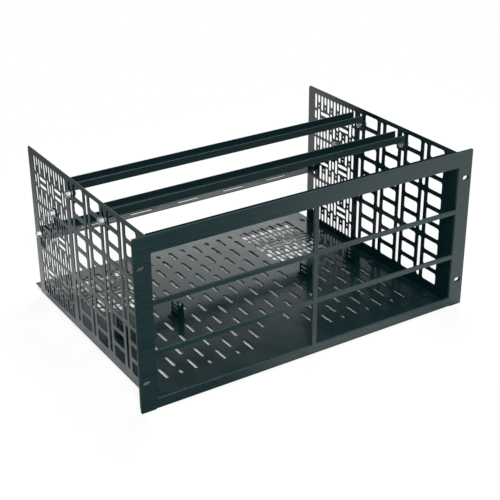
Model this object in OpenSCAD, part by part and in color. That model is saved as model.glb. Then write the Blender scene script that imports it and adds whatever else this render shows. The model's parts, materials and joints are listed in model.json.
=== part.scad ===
// Rack-mount shelf for several small devices: a faceplate with six openings,
// a slotted base, two ventilated side panels, clamping bars and strap brackets.
// Millimetres, +Z up. The faceplate looks towards -Y. The origin is under the
// middle of the footprint, level with the faceplate's bottom edge.

/* [Faceplate] */
// Width of the faceplate over its rack ears
faceplate_w = 482.6; // [450:0.1:520]
// Height of the faceplate
faceplate_h = 221.5; // [200:0.1:245]
// Thickness of the faceplate
faceplate_t = 3; // [2:0.1:4]
// Corner radius of the faceplate
corner_r = 0.8; // [0.4:0.1:4]
// Width of one rack ear, outside the side panel
ear_w = 19.05; // [17:0.05:24]
// Height of the strip under the openings
bottom_strip = 12.8; // [11:0.1:20]
// Height of the strip over the openings
top_strip = 21.1; // [18:0.1:30]
// Distance from a side panel's outer face to the openings
side_strip = 2.05; // [1.5:0.05:10]
// Width of the upright bar between the openings
upright_bar_w = 6.3; // [4:0.1:12]
// Height of each level bar between the openings
level_bar_h = 5.6; // [4:0.1:12]
// Columns of openings
opening_cols = 2; // [1:1:3]
// Rows of openings
opening_rows = 3; // [1:1:4]
// Lift of the bottom edge between the ears
bottom_relief = 1; // [0.5:0.1:2]

/* [Rack slots] */
// Distance from the faceplate's edge to a rack slot's centre
ear_slot_edge = 8.75; // [8:0.05:10]
// Height of the lower rack slots
ear_slot_z = 37.7; // [25:0.1:50]
// Upright distance between the rack slots
ear_slot_rise = 146.05; // [120:0.05:160]
// Length of a rack slot
ear_slot_l = 10.3; // [8:0.1:11.5]
// Width of a rack slot
ear_slot_w = 6.8; // [5.5:0.1:7.5]

/* [Folded sheets] */
// Thickness of every folded sheet
sheet_t = 1.2; // [1:0.1:1.6]
// Inner radius of every fold
fold_in_r = 0.8; // [0.5:0.1:1.5]
// Side clearance between the base and the folds of the side panels
base_gap = 0.25; // [0.1:0.05:0.5]

/* [Side panels] */
// Depth of a side panel, from the faceplate's front
panel_depth = 330.2; // [300:0.1:350]
// Height of the panels' underside over the faceplate's bottom edge
panel_lift = 3.6; // [3:0.1:6]
// Drop of the panels' top under the faceplate's top edge
panel_drop = 2.9; // [2.5:0.1:6]
// Radius of the panel's upper rear corner
panel_corner_r = 4; // [2:0.1:10]
// Width of the flange under the base
flange_w = 28; // [24:0.1:30]

/* [Side panel windows] */
// Columns of windows
window_cols = 4; // [3:1:4]
// Rows of windows, three to each vent block
window_rows = 9; // [6:3:9]
// Depth of a window
window_d = 27.2; // [20:0.1:30]
// Height of a window
window_h = 16.4; // [12:0.1:18]
// Corner radius of a window
window_r = 3.2; // [2:0.1:5]
// Distance between window columns
window_pitch = 45.72; // [44:0.01:47]
// Distance from the faceplate's front to the first column's centre
window_front = 44.2; // [35:0.1:48]
// Bare height under the rows of windows
rows_low = 12.3; // [11.5:0.1:15]
// Bare height over the rows of windows
rows_high = 2.7; // [2:0.1:5]
// Width of the lacing slots between the window columns
lacing_w = 6.1; // [5.6:0.05:8]
// Web left between one lacing slot and the next over it
lacing_web = 7.6; // [4:0.1:10]

/* [Vents] */
// Distance between vent columns
vent_pitch = 7.62; // [7.4:0.01:7.7]
// Width of a vent slot
vent_w = 5.6; // [5.3:0.1:5.8]
// Web between one row of vents and the next
vent_web = 2.7; // [2:0.1:3.5]
// Reach of a long vent slot into the middle row
vent_reach = 1.6; // [1:0.1:2]
// Length of a short outer vent slot
vent_short_l = 12.3; // [10:0.1:13]
// Length of a short middle vent slot
vent_mid_l = 13; // [11:0.1:13.5]
// Diameter of the round vent holes
vent_dot_d = 3.6; // [3:0.1:4]
// Distance from the end of a short slot to its round hole's centre
vent_dot_gap = 4.8; // [4:0.1:5.2]
// Length of the level vent slots
vent_level_l = 22; // [20:0.1:23]
// Width of the level vent slots
vent_level_w = 5.2; // [4:0.1:5.6]
// Half distance between two level vent slots
vent_level_dz = 4.9; // [4:0.1:5]
// Drop of the side vents against the rows of windows
vent_drop = 3.7; // [3:0.1:4.5]
// Distance from the last lacing slot to the first vent column
vent_start = 16.86; // [15:0.01:18]
// Least bare depth behind the side vents
vent_rear = 10; // [8:0.1:14]

/* [Base] */
// Depth of the base, from the faceplate's front
base_depth = 355.6; // [340:0.1:380]
// Height of the base's front lip over the floor
lip_h = 6.6; // [6.4:0.1:7]
// Distance between slot columns
slot_pitch = 20.32; // [19:0.01:22]
// Length of a floor slot
slot_l = 25.4; // [23:0.1:27]
// Width of a floor slot
slot_w = 5; // [4:0.1:6]
// Bare floor between one slot and the next behind it
slot_web = 12.7; // [11:0.1:15]
// Length of the short slots that square off the field
slot_short_l = 9.5; // [8:0.1:10]
// Bare floor in front of the slots
slot_front = 43.2; // [40:0.1:50]
// Least bare floor behind the slots
slot_rear = 18; // [15:0.1:20]
// Bare strip along each side of the base
slot_side = 30; // [29:0.1:34]
// Distance from the faceplate to the tip of the bare front area
bare_tip = 85; // [60:1:110]
// Slope of the bare front area's edges
bare_slope = 0.7; // [0.5:0.05:1]
// Columns of each rear vent patch
patch_cols = 12; // [6:6:12]
// Distance between the rows of a rear vent patch
patch_row_pitch = 22.22; // [21.6:0.01:24]
// Distance from the end of the slots to the end of a rear vent patch
patch_inset = 3.2; // [0:0.1:6]
// Depth of each upturned rear ear
rear_ear_d = 24; // [15:0.1:30]
// Distance from the middle of a rear ear to the panels' rear edge
rear_ear_back = 15.2; // [14:0.1:25]
// Height of each rear ear over the floor
rear_ear_h = 19; // [16:0.1:30]
// Diameter of the hole in a rear ear
rear_ear_hole_d = 4; // [3:0.1:5]
// Height of that hole over the floor
rear_ear_hole_z = 11; // [9:0.1:12]

/* [Base fixing] */
// Distance from a panel's outer face to the line of fixings
fixing_edge = 15.25; // [12:0.05:18]
// Distance from the faceplate's front to the first screw
fixing_front = 32; // [28:0.1:38]
// Distance from the faceplate's front to the second screw
fixing_second = 150; // [120:0.1:200]
// Distances of the spare slots from the panels' rear edge
spare_back = [63.2, 8.2]; // [8:0.1:70]
// Length of a spare slot
spare_l = 10; // [8:0.1:12]
// Width of a spare slot
spare_w = 6; // [5:0.1:7]
// Thread diameter of a base screw
screw_d = 4; // [3:0.1:4.5]
// Head diameter of a base screw
screw_head_d = 8; // [7:0.1:9]
// Head height of a base screw
screw_head_h = 2.4; // [2:0.1:3]
// Length of thread under the flange
screw_tail = 1.2; // [0.8:0.1:1.4]

/* [Bars] */
// Lacing slot that holds the front top bar
front_bar_slot = 1; // [0:1:2]
// Width of a bar and its end plates
bar_w = 21.6; // [17:0.1:24]
// Height of a top bar's channel
bar_h = 9.7; // [6:0.1:11]
// Drop of a top bar's underside under the panels' top
bar_drop = 15.6; // [11:0.1:17]
// Length of channel wall left off at each end
bar_relief = 5.5; // [5:0.1:9]
// Height of an end plate
end_plate_h = 29; // [27:0.1:32]
// Drop of a top bar's end plate under the panels' top
end_plate_drop = 2.6; // [1:0.1:4]
// Drop of a top bar's bolts under the panels' top
bar_bolt_drop = 22.6; // [21.8:0.1:26]
// Drop of a top bar's spare hole under the panels' top
bar_spare_drop = 8.8; // [8.5:0.1:9.5]
// Distance from the low bar's bolts to its front edge
low_bar_front = 12.5; // [11:0.1:16]
// Depth of the low bar's level flange
low_bar_d = 30; // [20:0.1:34]
// Height of the low bar's rear upstand
low_bar_h = 8; // [6:0.1:12]
// Length of the slots in the low bar
low_slot_l = 34; // [20:0.1:40]
// Width of the slots in the low bar
low_slot_w = 3; // [2.5:0.1:5]
// Distance between the slots in the low bar
low_slot_pitch = 74.6; // [45:0.1:90]
// Distance from the low bar's front edge to its slots
low_slot_front = 10; // [7:0.1:13]
// Distance from the low bar's bolts to its spare hole
low_spare_drop = 13; // [11:0.1:14]
// Depth of the front rail behind the faceplate
rail_d = 10; // [8:0.1:14]
// Height of the front rail
rail_h = 10; // [9:0.1:12]

/* [Side clips] */
// Vent column that holds each side clip
clip_column = 5; // [1:2:5]
// Width of a clip
clip_w = 19; // [17:0.1:24]
// Height of a clip's plate
clip_h = 22.5; // [20:0.1:28]
// Plate left over a clip's bolt
clip_over = 5.5; // [5:0.1:7]
// Reach of a clip's foot
clip_foot = 10; // [7:0.1:12]

/* [Bolts] */
// Thread diameter of the bar bolts
bolt_d = 5; // [4:0.1:5.2]
// Clearance of a bolt in its hole, on the diameter
bolt_gap = 0.5; // [0.3:0.1:0.8]
// Width of bolt heads and nuts across the flats
bolt_flats = 8; // [7:0.1:8.5]
// Height of a bolt head
bolt_head_h = 4.4; // [3:0.1:5]
// Height of a nut
nut_h = 3.6; // [3:0.1:5]
// Length of thread past a nut
bolt_tail = 1.4; // [1:0.1:3]
// Diameter of a washer
washer_d = 10; // [9.5:0.1:12]
// Thickness of a washer
washer_t = 1.4; // [0.8:0.1:1.6]

/* [Faceplate studs] */
// Thread diameter of a stud
stud_d = 3; // [2.5:0.1:3.2]
// Diameter of a stud's pressed head
stud_head_d = 5; // [4:0.1:5.5]
// Depth of a stud's head in the faceplate
stud_seat = 1.4; // [1:0.1:1.6]
// Distance from a panel's outer face to the outer studs
stud_edge = 40; // [30:0.1:60]
// Distance from the middle to the inner studs
stud_mid = 60; // [40:0.1:90]
// Width of a stud's nut across the flats
stud_nut_flats = 5.5; // [5:0.1:5.6]
// Height of a stud's nut
stud_nut_h = 2.4; // [2:0.1:2.8]
// Length of thread past a stud's nut
stud_tail = 0.8; // [0.5:0.1:1]

/* [Strap brackets] */
// Slot columns from an outer bracket to the inner one beside it
bracket_spread = 4; // [2:2:6]
// Depth of a bracket's ladder
bracket_d = 20; // [18:0.1:22]
// Height of a bracket's rear post over the floor
bracket_rear_h = 19; // [17:0.1:22]
// Height of a bracket's front post over the floor
bracket_front_h = 25; // [23:0.1:28]
// Width of a bracket's front leg
bracket_leg_w = 6.5; // [5:0.1:8]
// Height of that leg's outer corner over the floor
bracket_leg_h = 23.4; // [21:0.1:24.5]
// Depth of the V notch between that leg and the front post
bracket_notch = 5; // [3:0.1:7]
// Width of a ladder post
bracket_post_w = 3; // [2.5:0.1:4]
// Height of a strap slot
strap_slot_h = 3; // [2.5:0.1:3.4]
// Heights of the strap slots over the floor
strap_slot_z = [8, 14.2]; // [7:0.1:16]
// Reach of a bracket's foot along the floor
bracket_foot = 4.5; // [3:0.1:6]
// Reach of a bracket's side foot, beside the ladder
bracket_side_foot = 8; // [5:0.1:10]
// Width of the tongue in the floor slot
bracket_tongue = 14; // [12:0.1:16]
// Reach of the tongue's hook under the floor
bracket_hook = 3; // [2:0.1:4]
// Clearance of the hook under the floor
hook_gap = 0.1; // [0.05:0.05:0.2]

/* [Hidden] */
$fn = 48;
cut = 1;
half_w = faceplate_w / 2;
half_body = half_w - ear_w;
panel_in = half_body - sheet_t;
fold_r = fold_in_r + sheet_t;
fold_lap = 0.5;
plate_in = panel_in - sheet_t;
plate_mid = panel_in - sheet_t / 2;
back_y = faceplate_t;
panel_z0 = panel_lift;
panel_z1 = faceplate_h - panel_drop;
base_z0 = panel_z0 + sheet_t;
floor_z = base_z0 + sheet_t;
base_half = half_body - fold_r - base_gap;

// openings in the faceplate
opening_w = 2 * (half_body - side_strip);
cell_w = (opening_w - (opening_cols - 1) * upright_bar_w) / opening_cols;
cell_h = (faceplate_h - bottom_strip - top_strip - (opening_rows - 1) * level_bar_h) / opening_rows;
function cell_x(i) = -opening_w / 2 + cell_w / 2 + i * (cell_w + upright_bar_w);
function cell_z(j) = bottom_strip + cell_h / 2 + j * (cell_h + level_bar_h);

// rows and columns of the side panels
row_pitch = (panel_z1 - panel_z0 - rows_low - rows_high) / window_rows;
block_rows = 3;
blocks = window_rows / block_rows;
block_h = block_rows * row_pitch;
vent_unit = 6;
function row_z(r) = panel_z0 + rows_low + (r + 0.5) * row_pitch;
function block_z(b) = panel_z0 + rows_low + (b + 0.5) * block_h;
function vent_block_z(b) = block_z(b) - vent_drop;
function window_y(c) = window_front + c * window_pitch;
function lacing_y(c) = window_y(c) + window_pitch / 2;
vent_y0 = lacing_y(window_cols - 1) + vent_start;
vent_units = floor((panel_depth - vent_rear - vent_y0) / (vent_unit * vent_pitch));
vent_cols = vent_units * vent_unit + 1;
function vent_y(i) = vent_y0 + i * vent_pitch;

// slot field and vent patches of the base
slot_step = slot_l + slot_web;
slot_rows = floor((base_depth - slot_front - slot_rear + slot_web) / slot_step);
slot_end = slot_front + slot_rows * slot_step - slot_web;
slot_last = floor((base_half - slot_side) / slot_pitch);
patch_rows = [2, 0, 1, 2, 0];
patch_y0 = slot_end - patch_inset - len(patch_rows) * patch_row_pitch;
patch_first = 5;
patch_x1 = slot_last * slot_pitch;
patch_x0 = patch_x1 - (patch_cols - 1) * vent_pitch;
patch_clear = 5;
function bare(x) = bare_tip - bare_slope * abs(x);
function in_patch(x, y1) = abs(x) > patch_x0 - patch_clear && y1 > patch_y0 - patch_clear;
function slot_kept(x, y0, y1) = y0 >= bare(x) && !in_patch(x, y1);

// fixings
fixing_x = half_body - fixing_edge;
screw_ys = [fixing_front, fixing_second];
ear_y = panel_depth - rear_ear_back;
stud_xs = [-(half_body - stud_edge), -stud_mid, stud_mid, half_body - stud_edge];
lip_z1 = floor_z + lip_h;
nut_fold_gap = 0.1;
nut_floor_gap = fold_in_r + nut_fold_gap;
stud_low_z = floor_z + nut_floor_gap + stud_nut_flats / 2;
rail_z1 = panel_z1;
rail_z0 = rail_z1 - rail_h;
stud_high_z = rail_z0 + sheet_t + (rail_h - sheet_t) / 2;
stud_zs = [stud_low_z, stud_high_z];
stud_clear_d = stud_d + bolt_gap;

// bars, clips and their bolts
front_bar_y = lacing_y(front_bar_slot);
rear_bar_y = lacing_y(window_cols - 1);
low_bar_y = vent_y(vent_cols - 1);
clip_y = vent_y(clip_column);
bar_z0 = panel_z1 - bar_drop;
bar_bolt_z = panel_z1 - bar_bolt_drop;
bolt_hole_d = bolt_d + bolt_gap;
spare_clear = 0.5;
bar_spare_z = max(panel_z1 - bar_spare_drop, bar_z0 + sheet_t + bolt_hole_d / 2 + spare_clear);
bar_plate_z0 = panel_z1 - end_plate_drop - end_plate_h;
low_block = blocks > 2 ? 1 : 0;
low_bolt_z = vent_block_z(low_block) - row_pitch / 2 + vent_reach - vent_w / 2;
nut_clear = 0.6;
low_flange_z1 = low_bolt_z - bolt_flats / 2 - nut_clear;
low_plate_z0 = low_bolt_z - end_plate_h + clip_over + bolt_flats / 2;
low_front_y = low_bar_y - low_bar_front;
low_rear_y = low_front_y + low_bar_d;
low_slots = floor((2 * panel_in - low_slot_l - 4 * bar_relief) / low_slot_pitch / 2);
clip_bolt_z = vent_block_z(blocks - 1) - block_h / 2 + vent_web / 2 + vent_w / 2;
clip_z0 = clip_bolt_z + clip_over - clip_h;
bolt_sites = [
    [front_bar_y, bar_bolt_z],
    [rear_bar_y, bar_bolt_z],
    [low_bar_y, low_bolt_z],
    [clip_y, clip_bolt_z]
];
clamped_t = 2 * sheet_t;

// strap brackets stand in the floor slots of one row
outer_column = slot_last - (1 - slot_last % 2);
inner_column = outer_column - bracket_spread;
bracket_row = floor((patch_y0 - patch_clear - slot_l - slot_front) / slot_step);
bracket_slot_y = slot_front + bracket_row * slot_step;
bracket_slot_mid = bracket_slot_y + slot_l / 2;
bracket_y0 = bracket_slot_mid - bracket_d / 2 - bracket_post_w;
bracket_top_gap = 2;
bracket_side_gap = 0.1;
bracket_push = (slot_w - sheet_t) / 2 - bracket_side_gap;
hook_z = base_z0 - hook_gap;
hook_h = 1.2;

black = "#20282a";
face_black = "#1b2325";
zinc = "#c6cacc";
dark_screw = "#2c3031";

// Moves a piece from the faceplate's front to the frame's origin
module placed() {
    translate([0, -base_depth / 2, 0]) children();
}

// Extrudes a Y-Z outline along +X, from X = 0
module on_yz(t) {
    rotate([90, 0, 90]) linear_extrude(t) children();
}

// Extrudes an X-Z outline along +Y, from Y = 0
module on_xz(t) {
    translate([0, t, 0]) rotate([90, 0, 0]) linear_extrude(t) children();
}

// Rectangle with its corner at the origin and all four corners rounded
module rounded(w, h, r) {
    translate([r, 0]) square([w - 2 * r, h]);
    translate([0, r]) square([w, h - 2 * r]);
    for (x = [r, w - r], y = [r, h - r])
        translate([x, y]) circle(r);
}

// Level slot with round ends, centred
module slot_level(l, w) {
    square([l - w, w], center = true);
    for (x = [-1, 1])
        translate([x * (l - w) / 2, 0]) circle(d = w);
}

// Upright slot with round ends between two heights
module slot_upright(y0, y1, w) {
    translate([0, (y0 + y1) / 2]) rotate(90) slot_level(y1 - y0, w);
}

// Section of a right-angle fold, round the first quadrant, with a short lap into both flats
module fold_section() {
    intersection() {
        difference() {
            circle(fold_r);
            circle(fold_in_r);
        }
        square(fold_r);
    }
    translate([fold_in_r, -fold_lap]) square([sheet_t, fold_lap]);
    translate([-fold_lap, fold_in_r]) square([fold_lap, sheet_t]);
}

// Outer row of vents: long slots and short slots with a round hole, in turn
module vent_outer_row(first, cols, pitch) {
    y0 = -pitch / 2 + vent_web / 2;
    for (i = [0 : cols - 1]) {
        translate([i * vent_pitch, 0]) {
            if ((first + i) % 2 == 0) {
                slot_upright(y0, pitch / 2 + vent_reach, vent_w);
            } else {
                slot_upright(y0, y0 + vent_short_l, vent_w);
                translate([0, y0 + vent_short_l + vent_dot_gap]) circle(d = vent_dot_d);
            }
        }
    }
}

// Middle row of vents: upright slots between pairs of level slots
module vent_middle_row(first, cols, pitch) {
    half = (pitch - vent_web / 4) / 2;
    for (i = [0 : cols - 1]) {
        kind = (first + i) % vent_unit;
        translate([i * vent_pitch, 0]) {
            if (kind == 0) slot_upright(-vent_mid_l / 2, vent_mid_l / 2, vent_w);
            if (kind == 1 || kind == 5) slot_upright(-half, half, vent_w);
            if (kind == 3) {
                for (s = [-1, 1])
                    translate([0, s * vent_level_dz]) slot_level(vent_level_l, vent_level_w);
            }
        }
    }
}

// Rows of vents upwards from the origin: 0 is an outer row, 1 a middle row, 2 a mirrored outer row
module vent_rows(kinds, first, cols, pitch) {
    for (r = [0 : len(kinds) - 1])
        translate([0, (r + 0.5) * pitch]) {
            if (kinds[r] == 0) vent_outer_row(first, cols, pitch);
            if (kinds[r] == 1) vent_middle_row(first, cols, pitch);
            if (kinds[r] == 2) mirror([0, 1]) vent_outer_row(first, cols, pitch);
        }
}

// All cut-outs of a side panel, in Y and Z
module panel_cutouts() {
    for (c = [0 : window_cols - 1]) {
        for (r = [0 : window_rows - 1])
            translate([window_y(c) - window_d / 2, row_z(r) - window_h / 2])
                rounded(window_d, window_h, window_r);
        for (b = [0 : blocks - 1])
            translate([lacing_y(c), block_z(b)])
                rotate(90) slot_level(block_h - lacing_web, lacing_w);
    }
    for (b = [0 : blocks - 1])
        translate([vent_y0, vent_block_z(b) - block_h / 2])
            vent_rows([0, 1, 2], 0, vent_cols, row_pitch);
}

// Wall of a side panel, in Y and Z
module panel_wall() {
    difference() {
        union() {
            translate([back_y + fold_r, panel_z0 + fold_r])
                square([panel_depth - back_y - fold_r, panel_z1 - panel_z0 - fold_r - panel_corner_r]);
            translate([back_y + fold_r, panel_z1 - panel_corner_r])
                square([panel_depth - back_y - fold_r - panel_corner_r, panel_corner_r]);
            translate([panel_depth - panel_corner_r, panel_z1 - panel_corner_r]) circle(panel_corner_r);
        }
        panel_cutouts();
    }
}

// The right side panel: wall, outward ear flange and inward bottom flange
module side_panel() {
    flange_y0 = back_y + 2 * fold_r;
    flange_x1 = half_body - fold_r;
    flange_x0 = half_body - flange_w;
    translate([panel_in, 0, 0]) on_yz(sheet_t) panel_wall();
    // fold to the ear flange
    translate([panel_in + fold_r, back_y + fold_r, panel_z0 + fold_r])
        linear_extrude(panel_z1 - panel_z0 - fold_r) rotate(180) fold_section();
    // ear flange behind the faceplate's ear
    translate([0, back_y, 0]) on_xz(sheet_t)
        difference() {
            translate([panel_in + fold_r, panel_z0 + fold_r])
                square([half_w - panel_in - fold_r, panel_z1 - panel_z0 - fold_r]);
            ear_slots();
        }
    // fold to the bottom flange
    translate([flange_x1, flange_y0, panel_z0 + fold_r])
        on_xz(panel_depth - flange_y0) mirror([0, 1]) fold_section();
    // bottom flange under the base
    translate([0, 0, panel_z0]) linear_extrude(sheet_t)
        difference() {
            translate([flange_x0, flange_y0]) square([flange_x1 - flange_x0, panel_depth - flange_y0]);
            for (y = screw_ys) translate([fixing_x, y]) circle(d = screw_d);
        }
}

// The two rack slots of the right ear, in X and Z
module ear_slots() {
    for (z = [ear_slot_z, ear_slot_z + ear_slot_rise])
        translate([half_w - ear_slot_edge, z]) slot_level(ear_slot_l, ear_slot_w);
}

module faceplate() {
    color(face_black) placed()
        difference() {
            on_xz(faceplate_t)
                difference() {
                    translate([-half_w, 0]) rounded(faceplate_w, faceplate_h, corner_r);
                    for (i = [0 : opening_cols - 1], j = [0 : opening_rows - 1])
                        translate([cell_x(i), cell_z(j)]) square([cell_w, cell_h], center = true);
                    ear_slots();
                    mirror([1, 0]) ear_slots();
                    translate([-half_body, -cut]) square([2 * half_body, bottom_relief + cut]);
                }
            // blind seats for the studs, in the back
            for (x = stud_xs, z = stud_zs)
                translate([x, faceplate_t - stud_seat, z])
                    rotate([-90, 0, 0]) cylinder(d = stud_head_d, h = stud_seat + cut);
        }
}

// Slots in one column of the base, in X and Y
module floor_column(k) {
    x = k * slot_pitch;
    staggered = abs(k) % 2 == 0;
    shift = staggered ? slot_step / 2 : 0;
    rows = staggered ? slot_rows - 1 : slot_rows;
    for (j = [0 : rows - 1]) {
        y0 = slot_front + shift + j * slot_step;
        if (slot_kept(x, y0, y0 + slot_l))
            translate([x, 0]) slot_upright(y0, y0 + slot_l, slot_w);
    }
    if (staggered) {
        for (y0 = [slot_front, slot_end - slot_short_l])
            if (slot_kept(x, y0, y0 + slot_short_l))
                translate([x, 0]) slot_upright(y0, y0 + slot_short_l, slot_w);
    }
}

// Fixing holes along the right side of the base, in X and Y
module base_fixings() {
    for (y = screw_ys)
        translate([fixing_x, y]) circle(d = screw_d + bolt_gap);
    for (b = spare_back)
        translate([fixing_x, panel_depth - b]) rotate(90) slot_level(spare_l, spare_w);
}

// Floor of the base with its slots and vents, in X and Y
module base_floor() {
    ear_notch = rear_ear_d + 2 * sheet_t;
    difference() {
        translate([-base_half, back_y + fold_r]) square([2 * base_half, base_depth - back_y - fold_r]);
        for (k = [-slot_last : slot_last]) floor_column(k);
        for (m = [0, 1]) mirror([m, 0]) {
            translate([patch_x0, patch_y0]) vent_rows(patch_rows, patch_first, patch_cols, patch_row_pitch);
            base_fixings();
            translate([base_half - fold_r, ear_y - ear_notch / 2]) square([fold_r + cut, ear_notch]);
        }
    }
}

// Upturned rear ear of the base, on the right
module rear_ear() {
    ear_z0 = base_z0 + fold_r;
    translate([base_half - fold_r, ear_y - rear_ear_d / 2, ear_z0])
        on_xz(rear_ear_d) mirror([0, 1]) fold_section();
    translate([base_half - sheet_t, 0, 0]) on_yz(sheet_t)
        difference() {
            translate([ear_y - rear_ear_d / 2, ear_z0])
                square([rear_ear_d, floor_z + rear_ear_h - ear_z0]);
            translate([ear_y, floor_z + rear_ear_hole_z]) circle(d = rear_ear_hole_d);
        }
}

module base_shelf() {
    color(black) placed() {
        translate([0, 0, base_z0]) linear_extrude(sheet_t) base_floor();
        // fold and front lip behind the faceplate's bottom strip
        translate([-base_half, back_y + fold_r, base_z0 + fold_r])
            on_yz(2 * base_half) rotate(180) fold_section();
        translate([0, back_y, 0]) on_xz(sheet_t)
            difference() {
                translate([-base_half, base_z0 + fold_r]) square([2 * base_half, lip_z1 - base_z0 - fold_r]);
                for (x = stud_xs) translate([x, stud_low_z]) circle(d = stud_clear_d);
            }
        for (m = [0, 1]) mirror([m, 0, 0]) rear_ear();
    }
}

module right_side_panel() {
    color(black) placed() side_panel();
}

module left_side_panel() {
    color(black) placed() mirror([1, 0, 0]) side_panel();
}

// Section of an upward-open channel, standing on the first axis
module channel_section(w, h) {
    translate([fold_r, 0]) square([w - 2 * fold_r, sheet_t]);
    for (y = [0, w - sheet_t])
        translate([y, fold_r]) square([sheet_t, h - fold_r]);
    translate([fold_r, fold_r]) rotate(180) fold_section();
    translate([w - fold_r, fold_r]) rotate(-90) fold_section();
}

module front_top_rail() {
    color(black) placed()
        difference() {
            translate([-base_half, back_y, rail_z0]) on_yz(2 * base_half) channel_section(rail_d, rail_h);
            for (x = stud_xs)
                translate([x, back_y - cut, stud_high_z])
                    rotate([-90, 0, 0]) cylinder(d = stud_clear_d, h = sheet_t + 2 * cut);
        }
}

// End plate against the right panel, with its bolt hole and spare hole
module end_plate(y, z0, holes) {
    translate([plate_in, 0, 0]) on_yz(sheet_t)
        difference() {
            translate([y - bar_w / 2, z0]) square([bar_w, end_plate_h]);
            for (z = holes) translate([y, z]) circle(d = bolt_hole_d);
        }
}

// Channel bar across the top, with an end plate on each panel
module top_bar(y) {
    wall_half = panel_in - bar_relief;
    tab_x0 = wall_half - fold_lap;
    translate([-wall_half, y - bar_w / 2, bar_z0]) on_yz(2 * wall_half) channel_section(bar_w, bar_h);
    for (m = [0, 1]) mirror([m, 0, 0]) {
        translate([tab_x0, y - bar_w / 2 + fold_r, bar_z0])
            cube([plate_mid - tab_x0, bar_w - 2 * fold_r, sheet_t]);
        end_plate(y, bar_plate_z0, [bar_bolt_z, bar_spare_z]);
    }
}

module front_top_bar() {
    color(black) placed() top_bar(front_bar_y);
}

module rear_top_bar() {
    color(black) placed() top_bar(rear_bar_y);
}

module rear_low_bar() {
    flange_z0 = low_flange_z1 - sheet_t;
    full_half = panel_in - bar_relief;
    tab_y0 = low_bar_y - bar_w / 2 + fold_r;
    tab_y1 = min(low_bar_y + bar_w / 2, low_rear_y) - fold_r;
    color(black) placed() {
        // level flange with its row of slots, narrower at the ends
        translate([0, 0, flange_z0]) linear_extrude(sheet_t)
            difference() {
                union() {
                    translate([-full_half, low_front_y]) square([2 * full_half, low_bar_d - fold_r]);
                    translate([-plate_mid, tab_y0]) square([2 * plate_mid, tab_y1 - tab_y0]);
                }
                for (i = [-low_slots : low_slots])
                    translate([i * low_slot_pitch, low_front_y + low_slot_front])
                        slot_level(low_slot_l, low_slot_w);
            }
        // fold and rear upstand
        translate([-full_half, low_rear_y - fold_r, flange_z0 + fold_r])
            on_yz(2 * full_half) rotate(-90) fold_section();
        translate([-full_half, low_rear_y - sheet_t, flange_z0 + fold_r])
            cube([2 * full_half, sheet_t, low_bar_h - fold_r]);
        for (m = [0, 1]) mirror([m, 0, 0])
            end_plate(low_bar_y, low_plate_z0, [low_bolt_z, low_bolt_z - low_spare_drop]);
    }
}

// Small angle clip bolted to the right panel
module side_clip() {
    fold_z = clip_z0 + fold_r;
    translate([plate_in, 0, 0]) on_yz(sheet_t)
        difference() {
            translate([clip_y - clip_w / 2, fold_z]) square([clip_w, clip_h - fold_r]);
            translate([clip_y, clip_bolt_z]) circle(d = bolt_hole_d);
        }
    translate([panel_in - fold_r, clip_y - clip_w / 2, fold_z])
        on_xz(clip_w) mirror([0, 1]) fold_section();
    translate([panel_in - fold_r - clip_foot, clip_y - clip_w / 2, clip_z0])
        cube([clip_foot, clip_w, sheet_t]);
}

module right_side_clip() {
    color(black) placed() side_clip();
}

module left_side_clip() {
    color(black) placed() mirror([1, 0, 0]) side_clip();
}

// Ladder of a strap bracket, in Y and Z: two posts, strap slots, an open top and a hooked tongue
module bracket_ladder() {
    inner_d = bracket_d - 2 * bracket_post_w;
    top_z = strap_slot_z[1] + strap_slot_h / 2 + bracket_top_gap;
    difference() {
        union() {
            translate([0, floor_z]) square([bracket_d, top_z]);
            translate([0, floor_z]) square([bracket_post_w, bracket_front_h]);
            translate([bracket_d - bracket_post_w, floor_z]) square([bracket_post_w, bracket_rear_h]);
            // tongue through the floor slot, hooked towards the front under the floor
            translate([bracket_d - bracket_tongue, hook_z - hook_h])
                square([bracket_tongue, floor_z - hook_z + hook_h]);
            translate([bracket_slot_y - bracket_y0 - bracket_hook, hook_z - hook_h])
                square([bracket_d - bracket_slot_y + bracket_y0 + bracket_hook, hook_h]);
        }
        for (z = strap_slot_z)
            translate([bracket_d / 2, floor_z + z]) slot_level(inner_d, strap_slot_h);
    }
}

// Front leg of a strap bracket, in X and Z, lower beside the front post
module bracket_leg() {
    outer_x = sheet_t + bracket_leg_w;
    notch_z = bracket_leg_h - bracket_notch;
    polygon([[0, 0], [outer_x, 0], [outer_x, bracket_leg_h], [sheet_t, notch_z], [0, notch_z]]);
}

// One strap bracket in the floor slot of column k, pushed to the left of the slot's middle
module strap_bracket(k, push = 0) {
    foot_x0 = sheet_t / 2;
    side_foot_d = bracket_d - bracket_post_w;
    color(black) placed() translate([k * slot_pitch - push - sheet_t / 2, bracket_y0, 0]) {
        on_yz(sheet_t) bracket_ladder();
        // front leg, a foot in front of it, one behind the ladder and one beside it
        translate([0, 0, floor_z]) on_xz(sheet_t) bracket_leg();
        translate([sheet_t, -bracket_foot, floor_z])
            cube([bracket_leg_w, bracket_foot + sheet_t, sheet_t]);
        translate([foot_x0, bracket_d - bracket_post_w, floor_z])
            cube([sheet_t + bracket_leg_w - foot_x0, bracket_post_w + bracket_foot, sheet_t]);
        translate([-bracket_side_foot, 0, floor_z])
            cube([bracket_side_foot + foot_x0, side_foot_d, sheet_t]);
    }
}

module strap_bracket_left_outer() {
    strap_bracket(-outer_column);
}

module strap_bracket_left_inner() {
    strap_bracket(-inner_column, bracket_push);
}

module strap_bracket_right_inner() {
    strap_bracket(inner_column);
}

module strap_bracket_right_outer() {
    strap_bracket(outer_column);
}

// Sets its children at every bar bolt, with +Z pointing inwards from the panel's outer face
module at_bolts() {
    for (m = [0, 1]) mirror([m, 0, 0])
        for (s = bolt_sites)
            translate([half_body, s[0], s[1]]) rotate([0, -90, 0]) children();
}

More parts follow.
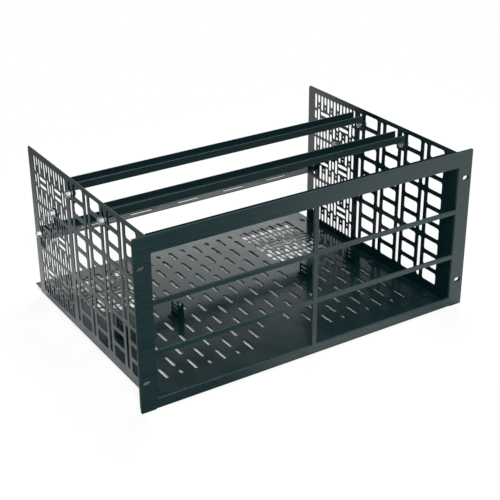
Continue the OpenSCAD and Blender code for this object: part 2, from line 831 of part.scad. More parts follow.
// Six-sided prism across the flats, with two flats level
module hexagon(flats, h) {
    rotate(30) cylinder(d = flats / cos(30), h = h, $fn = 6);
}

module bar_bolts() {
    shank = washer_t + clamped_t + nut_h + bolt_tail;
    color(zinc) placed() at_bolts() translate([0, 0, -washer_t]) {
        translate([0, 0, -bolt_head_h]) hexagon(bolt_flats, bolt_head_h);
        translate([0, 0, -bolt_head_h / 2]) cylinder(d = bolt_d, h = shank + bolt_head_h / 2);
    }
}

module bar_washers() {
    color(zinc) placed() at_bolts() translate([0, 0, -washer_t])
        difference() {
            cylinder(d = washer_d, h = washer_t);
            translate([0, 0, -cut]) cylinder(d = bolt_hole_d, h = washer_t + 2 * cut);
        }
}

module bar_nuts() {
    color(zinc) placed() at_bolts() translate([0, 0, clamped_t])
        difference() {
            hexagon(bolt_flats, nut_h);
            translate([0, 0, -cut]) cylinder(d = bolt_d, h = nut_h + 2 * cut);
        }
}

module base_screws() {
    shank = clamped_t + screw_tail;
    color(dark_screw) placed()
        for (m = [0, 1]) mirror([m, 0, 0])
            for (y = screw_ys) translate([fixing_x, y, floor_z]) {
                cylinder(d = screw_head_d, h = screw_head_h);
                translate([0, 0, -shank]) cylinder(d = screw_d, h = shank);
            }
}

// Sets its children at every stud, with +Z pointing to the rear from the faceplate's back
module at_studs() {
    for (x = stud_xs, z = stud_zs)
        translate([x, back_y, z]) rotate([-90, 0, 0]) rotate(90) children();
}

module faceplate_studs() {
    color(dark_screw) placed() at_studs() {
        translate([0, 0, -stud_seat]) cylinder(d = stud_head_d, h = stud_seat);
        cylinder(d = stud_d, h = sheet_t + stud_nut_h + stud_tail);
    }
}

module faceplate_nuts() {
    color(dark_screw) placed() at_studs() translate([0, 0, sheet_t])
        difference() {
            hexagon(stud_nut_flats, stud_nut_h);
            translate([0, 0, -cut]) cylinder(d = stud_d, h = stud_nut_h + 2 * cut);
        }
}

faceplate();
base_shelf();
left_side_panel();
right_side_panel();
front_top_rail();
front_top_bar();
rear_top_bar();
rear_low_bar();
left_side_clip();
right_side_clip();
strap_bracket_left_outer();
strap_bracket_left_inner();
strap_bracket_right_inner();
strap_bracket_right_outer();
bar_bolts();
bar_washers();
bar_nuts();
base_screws();
faceplate_studs();
faceplate_nuts();
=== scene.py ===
# %% [markdown]
# # A black rack-mount shelf, dressed for a studio photograph
#
# The shelf is a small sheet-metal assembly: a faceplate with six openings, a slotted base, two
# vented side panels, a rail behind the plate's top strip, three crossbars, two clips, four strap
# brackets and their hardware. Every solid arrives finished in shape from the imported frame, at
# its real size and place. This lesson gives each one its finish, softens its edges, and then
# lights and frames it.

# %% Load the frame
import json
import math

import bpy
from mathutils import Matrix, Vector


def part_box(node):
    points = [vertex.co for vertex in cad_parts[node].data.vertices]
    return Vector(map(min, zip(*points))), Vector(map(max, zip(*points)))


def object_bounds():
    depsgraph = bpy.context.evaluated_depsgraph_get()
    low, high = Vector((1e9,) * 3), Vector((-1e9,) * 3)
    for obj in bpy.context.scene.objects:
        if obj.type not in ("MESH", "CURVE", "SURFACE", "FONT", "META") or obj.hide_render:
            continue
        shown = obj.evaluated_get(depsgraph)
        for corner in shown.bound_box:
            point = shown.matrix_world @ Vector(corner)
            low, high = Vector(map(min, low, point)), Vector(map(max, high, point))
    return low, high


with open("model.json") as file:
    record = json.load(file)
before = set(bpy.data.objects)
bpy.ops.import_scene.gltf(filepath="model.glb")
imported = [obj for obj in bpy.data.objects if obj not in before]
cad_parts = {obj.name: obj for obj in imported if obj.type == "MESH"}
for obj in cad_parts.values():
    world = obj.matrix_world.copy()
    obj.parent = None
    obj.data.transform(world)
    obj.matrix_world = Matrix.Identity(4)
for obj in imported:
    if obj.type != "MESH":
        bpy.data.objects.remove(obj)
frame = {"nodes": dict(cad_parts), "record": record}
nodes = frame["nodes"]
cad_low, cad_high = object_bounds()
cad_size = cad_high - cad_low
print("nodes loaded:", len(nodes), "size in mm:", [round(v * 1000, 1) for v in cad_size])

# %% [markdown]
# ## Colours and nodes
#
# Colours are given in sRGB, the numbers that a picture file holds, but a shader adds and
# multiplies light, so it wants linear values. One function does that step for every colour
# here. A second one adds a shader node, sets its values and wires it, so a material reads as a
# list of what it is made of. The frame is in metres, so a pattern of a given size in
# millimetres has a texture scale of 1000 over that size.
#
# No real finish is quite even. Pictures of coated metal could be wrapped round the solids, but
# they would stretch at the folds and show seams, so here a noise pattern stands for the
# unevenness, and one function lets both the colour and the roughness follow it.


# %% Helpers for colours and nodes
def linear(hex_code):
    """An sRGB hex colour as linear RGBA."""
    channels = [int(hex_code[i : i + 2], 16) / 255 for i in (1, 3, 5)]
    return [c / 12.92 if c <= 0.04045 else ((c + 0.055) / 1.055) ** 2.4 for c in channels] + [1.0]


def add_node(tree, kind, inputs=None, **settings):
    """Adds one node: settings are its properties, inputs are values or sockets to link."""
    made = tree.nodes.new(kind)
    for name, value in settings.items():
        setattr(made, name, value)
    for name, value in (inputs or {}).items():
        if isinstance(value, bpy.types.NodeSocket):
            tree.links.new(value, made.inputs[name])
        else:
            made.inputs[name].default_value = value
    return made


def new_material(name):
    """An empty material with its output, and the tree to fill."""
    material = bpy.data.materials.new(name)
    material.use_nodes = True
    tree = material.node_tree
    tree.nodes.clear()
    return material, tree, add_node(tree, "ShaderNodeOutputMaterial")


def per_mm(size_mm):
    """The texture scale of a pattern that repeats about every size_mm millimetres."""
    return 1000.0 / size_mm


print("a middle grey of 128 is", round(linear("#808080")[0], 3), "in linear light")

# %% A colour and a roughness that follow a pattern
# nearly all of a noise texture lies between these values
NOISE_LOW = 0.3
NOISE_HIGH = 0.7


def uneven(tree, pattern, colours, roughness):
    """Sockets for a colour and a roughness that go with a noise pattern between two values."""
    colour = add_node(
        tree,
        "ShaderNodeMix",
        {0: pattern, 6: linear(colours[0]), 7: linear(colours[1])},
        data_type="RGBA",
    )
    rough = add_node(
        tree,
        "ShaderNodeMapRange",
        {0: pattern, 1: NOISE_LOW, 2: NOISE_HIGH, "To Min": roughness[0], "To Max": roughness[1]},
    )
    return colour.outputs[2], rough.outputs["Result"]


print("roughness follows the noise from", NOISE_LOW, "to", NOISE_HIGH)

# %% [markdown]
# ## Powder-coated steel
#
# The base, the side panels, the bars and the brackets are folded steel, sprayed with black
# polyester powder and baked. The film is smooth and satin: it shows a soft, blurred picture
# of what is around it, more at a flat angle than face on, over a black that leans to teal.
# Its surface has the slight waviness that painters call orange peel, a fraction of a
# millimetre across, and the film is a little thicker and glossier in some places.
#
# A glossy and a diffuse shader could be mixed by hand, but a principled shader with the IOR of
# polyester gives the angle-dependent sheen by itself. Noise at two real sizes, one for the
# peel and one for the film, does the rest.

# %% Powder coat
COAT_BLACK = "#071d20"
COAT_BLACK_THIN = "#0a2326"
COAT_ROUGHNESS = (0.14, 0.19)
COAT_IOR = 1.5
FILM_MM = 35.0
PEEL_MM = 0.7
PEEL_HEIGHT_M = 0.00003
PEEL_STRENGTH = 0.12


def powder_coat(name, roughness):
    """Black powder coat with roughness in the given range: its material, tree and shader."""
    material, tree, output = new_material(name)
    place = add_node(tree, "ShaderNodeTexCoord").outputs["Object"]
    film = add_node(
        tree, "ShaderNodeTexNoise", {"Vector": place, "Scale": per_mm(FILM_MM), "Detail": 3.0}
    )
    peel = add_node(
        tree, "ShaderNodeTexNoise", {"Vector": place, "Scale": per_mm(PEEL_MM), "Detail": 2.0}
    )
    colour, rough = uneven(tree, film.outputs["Fac"], (COAT_BLACK, COAT_BLACK_THIN), roughness)
    peel_bump = add_node(
        tree,
        "ShaderNodeBump",
        {"Height": peel.outputs["Fac"], "Strength": PEEL_STRENGTH, "Distance": PEEL_HEIGHT_M},
    )
    coat = add_node(
        tree,
        "ShaderNodeBsdfPrincipled",
        {
            "Base Color": colour,
            "Roughness": rough,
            "Normal": peel_bump.outputs["Normal"],
            "IOR": COAT_IOR,
        },
    )
    tree.links.new(coat.outputs["BSDF"], output.inputs["Surface"])
    print("made", name)
    return material, tree, coat


sheet_coat, tree, coat = powder_coat("black_polyester_powder_coat", COAT_ROUGHNESS)
face_shine = coat.inputs["Specular IOR Level"].default_value
print("shine of a face:", face_shine)

# %% [markdown]
# ## The coat on cut edges and on the bars
#
# Molten powder pulls back from a sharp edge, so the cut edges keep only a thin, porous film
# that hardly shines. It draws the dark rim round every slot and window. The bevel further down
# puts this finish on the rounded edges of every sheet but the two top bars.
#
# The panels, the clips and the brackets stand upright, so nearly all of their level faces are
# cut edges too. They could be picked out one by one, but the normal's Z part, 1 on a level face
# and 0 on an upright one, finds them all, and fades the shine out there.
#
# The two top bars look matt in the photograph, black on their upright faces and lighter on the
# level ones, so they get a duller coat of their own, with its shine the other way round. The
# low bar gets a third one, as smooth as the floor's, but with much less shine.

# %% Cut edges and bars
EDGE_ROUGHNESS = (0.75, 0.9)
EDGE_SHINE = 0.1
BAR_ROUGHNESS = (0.45, 0.6)
BAR_SHINE = 0.2
BAR_LEVEL_SHINE = 0.6
LOW_BAR_SHINE = 0.13


def shine_by_slope(tree, coat, on_upright, on_level):
    """Lets the shine of a coat go from one value on upright faces to another on level ones."""
    normal = add_node(
        tree, "ShaderNodeSeparateXYZ", {0: add_node(tree, "ShaderNodeNewGeometry").outputs["Normal"]}
    )
    level = add_node(tree, "ShaderNodeMath", {0: normal.outputs["Z"]}, operation="ABSOLUTE")
    shine = add_node(
        tree, "ShaderNodeMapRange", {0: level.outputs[0], "To Min": on_upright, "To Max": on_level}
    )
    tree.links.new(shine.outputs["Result"], coat.inputs["Specular IOR Level"])


edge_coat, tree, coat = powder_coat("thin_powder_coat_on_cut_edges", EDGE_ROUGHNESS)
coat.inputs["Specular IOR Level"].default_value = EDGE_SHINE

upright_coat, tree, coat = powder_coat("powder_coat_on_upright_sheets", COAT_ROUGHNESS)
shine_by_slope(tree, coat, face_shine, EDGE_SHINE)

# the higher shine of the bars' level faces is a painted sheen that makes their tops lighter than their
# fronts
bar_coat, tree, coat = powder_coat("matt_black_powder_coat", BAR_ROUGHNESS)
shine_by_slope(tree, coat, BAR_SHINE, BAR_LEVEL_SHINE)

low_bar_coat, tree, coat = powder_coat("satin_black_powder_coat", COAT_ROUGHNESS)
coat.inputs["Specular IOR Level"].default_value = LOW_BAR_SHINE
print("shine of a cut edge:", EDGE_SHINE, "of a top bar:", BAR_SHINE, "of the low bar:", LOW_BAR_SHINE)

# %% [markdown]
# ## Black anodised aluminium
#
# The faceplate is a flat aluminium plate, brushed along its length, then anodised and dyed
# black. The dye sits in a clear oxide layer, so it looks like a dark glassy film and not like
# bare metal, and the fine brush lines under it stretch each highlight across them.
#
# The shader's anisotropic setting could stretch the highlights too, but no line would ever
# show. So the lines are noise, squeezed hard in one direction: long along X and short across
# it. Real lines are about a tenth of a millimetre apart, too fine to show here, so they are
# drawn one and a half millimetres apart.

# %% Brush lines
ANODISED_BLACK = "#05191b"
ANODISED_BLACK_THIN = "#0e3033"
BRUSH_ROUGHNESS = (0.24, 0.48)
BRUSH_PITCH_MM = 1.5
BRUSH_LENGTH_MM = 90.0

anodised, tree, output = new_material("black_anodised_brushed_aluminium")
place = add_node(tree, "ShaderNodeTexCoord").outputs["Object"]
stretched = add_node(
    tree,
    "ShaderNodeMapping",
    {
        "Vector": place,
        "Scale": (per_mm(BRUSH_LENGTH_MM), per_mm(BRUSH_PITCH_MM), per_mm(BRUSH_PITCH_MM)),
    },
)
brushing = add_node(
    tree, "ShaderNodeTexNoise", {"Vector": stretched.outputs["Vector"], "Scale": 1.0, "Detail": 3.0}
)
dye, brush_rough = uneven(
    tree, brushing.outputs["Fac"], (ANODISED_BLACK, ANODISED_BLACK_THIN), BRUSH_ROUGHNESS
)
print("brush lines in mm:", BRUSH_LENGTH_MM, "long and", BRUSH_PITCH_MM, "apart")

# %% [markdown]
# Only the front and back of the plate are brushed. Its cut edges are etched dull by the
# anodising bath, so the normal's Y part chooses between the two kinds of roughness.

# %% Anodised faceplate
ANODISED_IOR = 1.6
BRUSH_HEIGHT_M = 0.00004
BRUSH_STRENGTH = 0.15
PLATE_EDGE_ROUGHNESS = 0.95

normal = add_node(
    tree, "ShaderNodeSeparateXYZ", {0: add_node(tree, "ShaderNodeNewGeometry").outputs["Normal"]}
)
on_face = add_node(tree, "ShaderNodeMath", {0: normal.outputs["Y"]}, operation="ABSOLUTE")
plate_rough = add_node(
    tree, "ShaderNodeMix", {0: on_face.outputs[0], 2: PLATE_EDGE_ROUGHNESS, 3: brush_rough}
)
brush_bump = add_node(
    tree,
    "ShaderNodeBump",
    {"Height": brushing.outputs["Fac"], "Strength": BRUSH_STRENGTH, "Distance": BRUSH_HEIGHT_M},
)
oxide_layer = add_node(
    tree,
    "ShaderNodeBsdfPrincipled",
    {
        "Base Color": dye,
        "Roughness": plate_rough.outputs[0],
        "Normal": brush_bump.outputs["Normal"],
        "IOR": ANODISED_IOR,
    },
)
tree.links.new(oxide_layer.outputs["BSDF"], output.inputs["Surface"])
print("made", anodised.name)

# %% [markdown]
# ## Bright zinc plate
#
# The bolts, washers and nuts of the crossbars are steel with a thin bright zinc layer. Zinc is
# a real metal surface, so it takes its colour from the reflection: pale and slightly blue. One
# even grey would look like plastic, so it gets the faint cloudiness that barrel plating leaves
# every couple of millimetres.

# %% Zinc hardware
ZINC_PALE = "#e4e8ea"
ZINC_CLOUDY = "#bcc3c6"
ZINC_ROUGHNESS = (0.42, 0.58)
ZINC_CLOUD_MM = 1.6

zinc, tree, output = new_material("bright_zinc_plated_steel")
place = add_node(tree, "ShaderNodeTexCoord").outputs["Object"]
cloud = add_node(
    tree, "ShaderNodeTexNoise", {"Vector": place, "Scale": per_mm(ZINC_CLOUD_MM), "Detail": 4.0}
)
colour, rough = uneven(tree, cloud.outputs["Fac"], (ZINC_PALE, ZINC_CLOUDY), ZINC_ROUGHNESS)
plated = add_node(
    tree, "ShaderNodeBsdfPrincipled", {"Base Color": colour, "Metallic": 1.0, "Roughness": rough}
)
tree.links.new(plated.outputs["BSDF"], output.inputs["Surface"])
print("made", zinc.name)

# %% [markdown]
# ## Black oxide screws
#
# The screws in the floor, and the studs and nuts behind the faceplate, are blackened in a hot
# salt bath. The layer is so thin that the steel still shines through, so the shader is partly
# metallic, and the heads are a little duller and greyer than the paint round them. The real
# grain is far too fine to show here, so it is drawn half a millimetre wide.

# %% Oxide screws
OXIDE_BLACK = "#122629"
OXIDE_GREY = "#24383b"
OXIDE_ROUGHNESS = (0.25, 0.4)
OXIDE_METALLIC = 0.6
OXIDE_GRAIN_MM = 0.5

black_oxide, tree, output = new_material("black_oxide_steel")
place = add_node(tree, "ShaderNodeTexCoord").outputs["Object"]
grain = add_node(
    tree, "ShaderNodeTexNoise", {"Vector": place, "Scale": per_mm(OXIDE_GRAIN_MM), "Detail": 3.0}
)
colour, rough = uneven(tree, grain.outputs["Fac"], (OXIDE_BLACK, OXIDE_GREY), OXIDE_ROUGHNESS)
blackened = add_node(
    tree,
    "ShaderNodeBsdfPrincipled",
    {"Base Color": colour, "Metallic": OXIDE_METALLIC, "Roughness": rough},
)
tree.links.new(blackened.outputs["BSDF"], output.inputs["Surface"])
print("made", black_oxide.name)

# %% [markdown]
# ## Finishes on the solids, and soft edges
#
# The record names a material slot for every node, so the finish follows the slot. Some sheets
# differ: the base lies level, so its level faces keep the full shine, and the bars have the
# duller coats of their own.
#
# A punched and painted edge is never knife-sharp: the paint pulls back into a small round, and
# that round takes the edge finish. It could be modelled in every slot of the solids, but they
# would get heavy and hard to change, so they keep their own mesh. A weld joins the faces that
# meet, and a narrow bevel rounds the edges, both as modifiers. The bevel also says which
# material slot its new faces get.

# %% Dress the nodes
finishes = {
    "faceplate_finish": [anodised],
    "sheet_finish": [upright_coat, edge_coat],
    "zinc": [zinc],
    "black_screw": [black_oxide],
}
own_finishes = {
    "base_shelf": [sheet_coat, edge_coat],
    "rear_low_bar": [low_bar_coat, edge_coat],
    "front_top_bar": [bar_coat],
    "rear_top_bar": [bar_coat],
}
slot_of = {part["node"]: part["material_slot"] for part in frame["record"]["subparts"]}
JOIN_M = 0.000005
EDGE_ROUND_M = 0.00055
EDGE_STEPS = 2
SHARP_ANGLE = math.radians(35)

for name, piece in nodes.items():
    finish = own_finishes.get(name, finishes[slot_of[name]])
    piece.data.materials.clear()
    for material in finish:
        piece.data.materials.append(material)
    weld = piece.modifiers.new("join_faces", "WELD")
    weld.merge_threshold = JOIN_M
    bevel = piece.modifiers.new("edge_round", "BEVEL")
    bevel.width = EDGE_ROUND_M
    bevel.segments = EDGE_STEPS
    bevel.limit_method = "ANGLE"
    bevel.angle_limit = SHARP_ANGLE
    bevel.harden_normals = True
    bevel.material = len(finish) - 1
print("dressed", len(nodes), "nodes,", len(own_finishes), "of them in a finish of their own")

# %% [markdown]
# ## The white floor
#
# A black shelf is mostly lit by what it mirrors, so the floor matters as much as the lamps. It
# is a sheet of white paper. A shadow catcher would give a white picture too, but the metal would
# have nothing to mirror, so the paper is really there, a hair below the shelf.

# %% Floor
FLOOR_HALF_M = 4.0
FLOOR_GAP_M = 0.0002
floor_z = cad_low.z - FLOOR_GAP_M

floor_mesh = bpy.data.meshes.new("floor")
corner_signs = ((-1, -1), (1, -1), (1, 1), (-1, 1))
corners = [(x * FLOOR_HALF_M, y * FLOOR_HALF_M, floor_z) for x, y in corner_signs]
floor_mesh.from_pydata(corners, [], [(0, 1, 2, 3)])
floor = bpy.data.objects.new("floor", floor_mesh)
bpy.context.scene.collection.objects.link(floor)
print("floor at z in mm:", round(floor_z * 1000, 2))

# %% [markdown]
# The camera sees the paper as plain white with only a faint shadow, and far from the shelf as
# white alone. The paper under the base is left out of that: it is seen through the floor slots
# as it really is, bright where a lamp's light falls through the slot and black beside it. How
# far a spot lies from the middle, with 1 at the rim of the footprint, tells the areas apart.

# %% Share of plain white
CAMERA_WHITE_SHARE = 0.88
BASE_RIM = (0.97, 1.0)
FAR_PAPER = (1.5, 4.0)

paper, tree, output = new_material("white_paper_sweep")
ray = add_node(tree, "ShaderNodeLightPath")
place = add_node(tree, "ShaderNodeTexCoord").outputs["Object"]
spot = add_node(tree, "ShaderNodeSeparateXYZ", {0: place})

reach_along = {}
for axis, half_m in (("X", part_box("base_shelf")[1].x), ("Y", cad_high.y)):
    scaled = add_node(tree, "ShaderNodeMath", {0: spot.outputs[axis], 1: half_m}, operation="DIVIDE")
    distance = add_node(tree, "ShaderNodeMath", {0: scaled.outputs[0]}, operation="ABSOLUTE")
    reach_along[axis] = distance.outputs[0]
reach = add_node(
    tree, "ShaderNodeMath", {0: reach_along["X"], 1: reach_along["Y"]}, operation="MAXIMUM"
)
near_white = add_node(
    tree,
    "ShaderNodeMapRange",
    {0: reach.outputs[0], 1: BASE_RIM[0], 2: BASE_RIM[1], "To Max": CAMERA_WHITE_SHARE},
)
far_white = add_node(
    tree,
    "ShaderNodeMapRange",
    {0: reach.outputs[0], 1: FAR_PAPER[0], 2: FAR_PAPER[1], "To Max": 1 - CAMERA_WHITE_SHARE},
)
plain_share = add_node(
    tree,
    "ShaderNodeMath",
    {0: near_white.outputs["Result"], 1: far_white.outputs["Result"]},
    operation="ADD",
)
print("share of plain white beside the shelf:", CAMERA_WHITE_SHARE)

# %% [markdown]
# The faceplate mirrors the paper in front of it. In the photograph its left third is dark and
# the rest is lighter, as if a black card, which photographers call a flag, kept the light off
# the paper at the front left. A real card would shade the shelf as well, so the flag is a soft,
# slanted edge in the paper's material.

# %% Flag: painted shade on the paper at the front left
FLAG_EDGE_X = -0.08
FLAG_SLANT = 0.9
FLAG_SOFT_M = 0.075
FLAG_SPILL = 0.2

plate_front_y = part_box("faceplate")[0].y
# this sum is the same all along the flag's edge
across_flag = add_node(
    tree,
    "ShaderNodeMath",
    {0: spot.outputs["Y"], 1: FLAG_SLANT, 2: spot.outputs["X"]},
    operation="MULTIPLY_ADD",
)
edge_at = FLAG_EDGE_X + FLAG_SLANT * plate_front_y
shaded = add_node(
    tree,
    "ShaderNodeMapRange",
    {
        "Value": across_flag.outputs[0],
        "From Min": edge_at - FLAG_SOFT_M,
        "From Max": edge_at + FLAG_SOFT_M,
        "To Min": 1.0,
        "To Max": FLAG_SPILL,
    },
    interpolation_type="SMOOTHSTEP",
)
in_front = add_node(
    tree, "ShaderNodeMath", {0: spot.outputs["Y"], 1: plate_front_y}, operation="LESS_THAN"
)
# the flag is painted shade: the paper's colour is darkened at the front left, and only glossy rays see it
flag = add_node(
    tree, "ShaderNodeMath", {0: shaded.outputs["Result"], 1: in_front.outputs[0]}, operation="MULTIPLY"
)
print("flag's edge meets the faceplate at x in mm:", round(FLAG_EDGE_X * 1000))

# %% [markdown]
# The paper's colour is painted darker towards the left, a painted shade that only glossy rays
# see, so the left panel, which mirrors it, gets darker towards its top.

# %% Painted shade at the left
LEFT_SHADE_FULL_X = -0.44
LEFT_SHADE_AMOUNT = 0.9

# painted shade: the paper seen in reflections gets darker towards the left
left_painted_shade = add_node(
    tree,
    "ShaderNodeMapRange",
    {
        "Value": spot.outputs["X"],
        "From Min": LEFT_SHADE_FULL_X,
        "From Max": cad_low.x,
        "To Min": LEFT_SHADE_AMOUNT,
        "To Max": 0.0,
    },
)
painted_flag_and_left_shade = add_node(
    tree, "ShaderNodeMath", {0: flag.outputs[0], 1: left_painted_shade.outputs["Result"]}, operation="MAXIMUM"
)
print("paper ends at the left at x in mm:", round(LEFT_SHADE_FULL_X * 1000))

# %% [markdown]
# The right panel mirrors the paper close behind the shelf, which lies in the shelf's shadow: its
# front half is black, and its rear half, which looks past the shadow, is grey. The lamps alone
# don't make the paper that dark, so this shadow is drawn too, as wide as the base and up to a
# slanted edge.

# %% Shadow behind the shelf
SHADOW_END_Y = 0.38
SHADOW_SLANT = 1.2
SHADOW_SOFT_M = 0.05

# this sum is the same all along the shadow's edge
across_shadow = add_node(
    tree,
    "ShaderNodeMath",
    {0: spot.outputs["X"], 1: SHADOW_SLANT, 2: spot.outputs["Y"]},
    operation="MULTIPLY_ADD",
)
before_edge = add_node(
    tree,
    "ShaderNodeMapRange",
    {
        "Value": across_shadow.outputs[0],
        "From Min": SHADOW_END_Y - SHADOW_SOFT_M,
        "From Max": SHADOW_END_Y + SHADOW_SOFT_M,
        "To Min": 1.0,
        "To Max": 0.0,
    },
    interpolation_type="SMOOTHSTEP",
)
past_rear = add_node(
    tree, "ShaderNodeMath", {0: spot.outputs["Y"], 1: cad_high.y}, operation="GREATER_THAN"
)
in_width = add_node(tree, "ShaderNodeMath", {0: reach_along["X"], 1: 1.0}, operation="LESS_THAN")
in_strip = add_node(
    tree, "ShaderNodeMath", {0: past_rear.outputs[0], 1: in_width.outputs[0]}, operation="MULTIPLY"
)
shadow = add_node(
    tree,
    "ShaderNodeMath",
    {0: before_edge.outputs["Result"], 1: in_strip.outputs[0]},
    operation="MULTIPLY",
)
print("shadow behind the shelf ends, in line with its middle, at y in mm:", round(SHADOW_END_Y * 1000))

# %% [markdown]
# Light Path tells the rays apart. Only glossy rays see the painted shade of the flag, the painted
# shade at the left and the painted shadow, and only camera rays see the plain white, so each can
# be set by itself while the soft light that the paper throws back at the shelf stays the same.

# %% Paper
PAPER_WHITE = "#f4f5f5"
# painted shades of the paper, seen only by glossy rays: the flag's and the shadow's
PAPER_PAINTED_FLAG_SHADE = "#4c4f50"
PAPER_IN_SHADOW = "#1e2020"

paper_colour = linear(PAPER_WHITE)
for area, shade in ((painted_flag_and_left_shade, PAPER_PAINTED_FLAG_SHADE), (shadow, PAPER_IN_SHADOW)):
    mirrored = add_node(
        tree, "ShaderNodeMath", {0: area.outputs[0], 1: ray.outputs["Is Glossy Ray"]}, operation="MULTIPLY"
    )
    mixed = add_node(
        tree,
        "ShaderNodeMix",
        {0: mirrored.outputs[0], 6: paper_colour, 7: linear(shade)},
        data_type="RGBA",
    )
    paper_colour = mixed.outputs[2]
lit_paper = add_node(tree, "ShaderNodeBsdfDiffuse", {"Color": paper_colour})
plain_white = add_node(tree, "ShaderNodeEmission", {"Color": (1, 1, 1, 1), "Strength": 1.0})
white_share = add_node(
    tree,
    "ShaderNodeMath",
    {0: ray.outputs["Is Camera Ray"], 1: plain_share.outputs[0]},
    operation="MULTIPLY",
)
seen = add_node(
    tree,
    "ShaderNodeMixShader",
    {0: white_share.outputs[0], 1: lit_paper.outputs["BSDF"], 2: plain_white.outputs["Emission"]},
)
tree.links.new(seen.outputs["Shader"], output.inputs["Surface"])
floor.data.materials.append(paper)
print("made", paper.name)

# %% [markdown]
# ## The backdrop
#
# Behind the shelf the paper rises into a bright white wall, and over it the room is dark. The
# level surfaces mirror that wall at a flat angle: the rear of the floor and the low bar's
# flange look up at it from below 27 degrees and turn light grey, while the front of the floor
# looks over its top edge, into the dark room, and stays black. The wall also ends a little to
# the right of the shelf, so the floor near the right panel stays dark.
#
# A curved sheet with lamps on it could stand there, but it would have to be moved for each try.
# The world shader draws the wall from the direction of the ray alone: a profile over the height,
# and three fades, one from front to back and one for each end. Camera rays see plain white, and
# glossy ones see the wall, so the zinc shows it too.

# %% Wall
WALL_PROFILE = ((19.0, 0.35), (25.0, 1.0), (26.6, 1.0), (27.7, 0.15), (29.5, 0.0))
WALL_ENDS = (("Y", -0.1, 0.4), ("X", -0.3, 0.1), ("X", 0.585, 0.505))

world = bpy.data.worlds.new("studio")
bpy.context.scene.world = world
world.use_nodes = True
tree = world.node_tree
tree.nodes.clear()
direction = add_node(
    tree, "ShaderNodeSeparateXYZ", {0: add_node(tree, "ShaderNodeTexCoord").outputs["Generated"]}
)
by_height = add_node(tree, "ShaderNodeValToRGB", {0: direction.outputs["Z"]})
profile = by_height.color_ramp
# a new ramp has a black and a white stop, and only the black one, at the horizon, is kept
profile.elements.remove(profile.elements[1])
for degrees, level in WALL_PROFILE:
    stop = profile.elements.new(math.sin(math.radians(degrees)))
    stop.color = (level, level, level, 1)
light = by_height.outputs["Color"]
for axis, dark_at, bright_at in WALL_ENDS:
    fade = add_node(tree, "ShaderNodeMapRange", {0: direction.outputs[axis], 1: dark_at, 2: bright_at})
    faded = add_node(
        tree, "ShaderNodeMath", {0: light, 1: fade.outputs["Result"]}, operation="MULTIPLY"
    )
    light = faded.outputs[0]
print("wall's brightness by degrees of height:", WALL_PROFILE)

# %% World
WALL_LIGHT = 2.75
ROOM_LIGHT = 0.05

ray = add_node(tree, "ShaderNodeLightPath")
wall = add_node(tree, "ShaderNodeMath", {0: light, 1: WALL_LIGHT}, operation="MULTIPLY")
room = add_node(tree, "ShaderNodeMath", {0: wall.outputs[0], 1: ROOM_LIGHT}, operation="MAXIMUM")
studio_light = add_node(
    tree, "ShaderNodeBackground", {"Color": (1, 1, 1, 1), "Strength": room.outputs[0]}
)
white_for_camera = add_node(tree, "ShaderNodeBackground", {"Color": (1, 1, 1, 1), "Strength": 1.0})
world_mix = add_node(
    tree,
    "ShaderNodeMixShader",
    {
        0: ray.outputs["Is Camera Ray"],
        1: studio_light.outputs["Background"],
        2: white_for_camera.outputs["Background"],
    },
)
world_output = add_node(tree, "ShaderNodeOutputWorld")
tree.links.new(world_mix.outputs["Shader"], world_output.inputs["Surface"])
print("light of the wall:", WALL_LIGHT, "and of the room:", ROOM_LIGHT)

# %% [markdown]
# ## The lamps
#
# Two softboxes give the paint its own colour. Bare points or a sun would light it too, but with
# hard shadows that no studio has. The key is tall and narrow and stands at the front left. It
# lights the plate and the bolts, and through each floor slot it draws a bright strip on the
# paper, of which the camera sees only the left part. The other hangs over the right of the
# shelf. Its light falls almost straight down, so it stays hidden under the plain slots, but it
# fills the dense vent patches at the rear, where one slot shows what falls through the next.

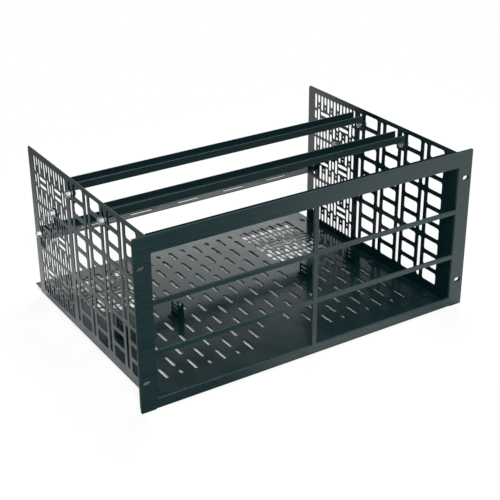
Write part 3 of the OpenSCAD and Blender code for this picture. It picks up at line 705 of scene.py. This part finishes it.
# %% Lamps
LAMPS = {
    "key_softbox": {"place": (-1.05, -2.3, 2.3), "size": (0.35, 1.8), "watts": 118.0},
    "overhead_softbox": {"place": (0.75, 0.6, 2.3), "size": (0.7, 0.7), "watts": 44.0},
}
aim = Vector((0.0, 0.0, cad_high.z / 2))
for name, lamp in LAMPS.items():
    data = bpy.data.lights.new(name, "AREA")
    data.shape = "RECTANGLE"
    data.size, data.size_y = lamp["size"]
    data.energy = lamp["watts"]
    holder = bpy.data.objects.new(name, data)
    holder.location = lamp["place"]
    holder.rotation_euler = (aim - holder.location).to_track_quat("-Z", "Y").to_euler()
    bpy.context.scene.collection.objects.link(holder)
print("lamps:", ", ".join(LAMPS))

# %% [markdown]
# ## The camera
#
# A camera can be moved by hand until the picture looks right, but a rack shelf allows better:
# the rack standard fixes the faceplate's width and the distance between its slots, so the
# photograph's perspective can be solved from them. That says where the camera stood, measured
# from the middle of the plate's lower front edge, which way it looked, and how long its lens was.

# %% Camera
CAMERA_AZIMUTH = math.radians(-32.434)
CAMERA_ELEVATION = math.radians(26.370)
CAMERA_ROLL = math.radians(-0.341)
CAMERA_FROM_PLATE_MM = Vector((-720.23, -986.10, 749.23))
LENS_MM = 82.30
SENSOR_MM = 36.0
NEAREST_M = 0.05
FARTHEST_M = 50.0

camera_data = bpy.data.cameras.new("camera")
camera_data.sensor_width = SENSOR_MM
camera_data.lens = LENS_MM
camera_data.clip_start = NEAREST_M
camera_data.clip_end = FARTHEST_M
camera = bpy.data.objects.new("camera", camera_data)
back = Vector(
    (
        math.sin(CAMERA_AZIMUTH) * math.cos(CAMERA_ELEVATION),
        -math.cos(CAMERA_AZIMUTH) * math.cos(CAMERA_ELEVATION),
        math.sin(CAMERA_ELEVATION),
    )
)
level_right = Vector((0, 0, 1)).cross(back).normalized()
level_up = back.cross(level_right)
right = level_right * math.cos(CAMERA_ROLL) + level_up * math.sin(CAMERA_ROLL)
up = level_up * math.cos(CAMERA_ROLL) - level_right * math.sin(CAMERA_ROLL)
turn = Matrix((right, up, back)).transposed().to_4x4()
stand = CAMERA_FROM_PLATE_MM / 1000 + Vector((0, plate_front_y, cad_low.z))
camera.matrix_world = Matrix.Translation(stand) @ turn
bpy.context.scene.collection.objects.link(camera)
bpy.context.scene.camera = camera
bpy.context.scene.view_settings.view_transform = "Standard"
print("camera stands at", [round(v, 3) for v in stand])
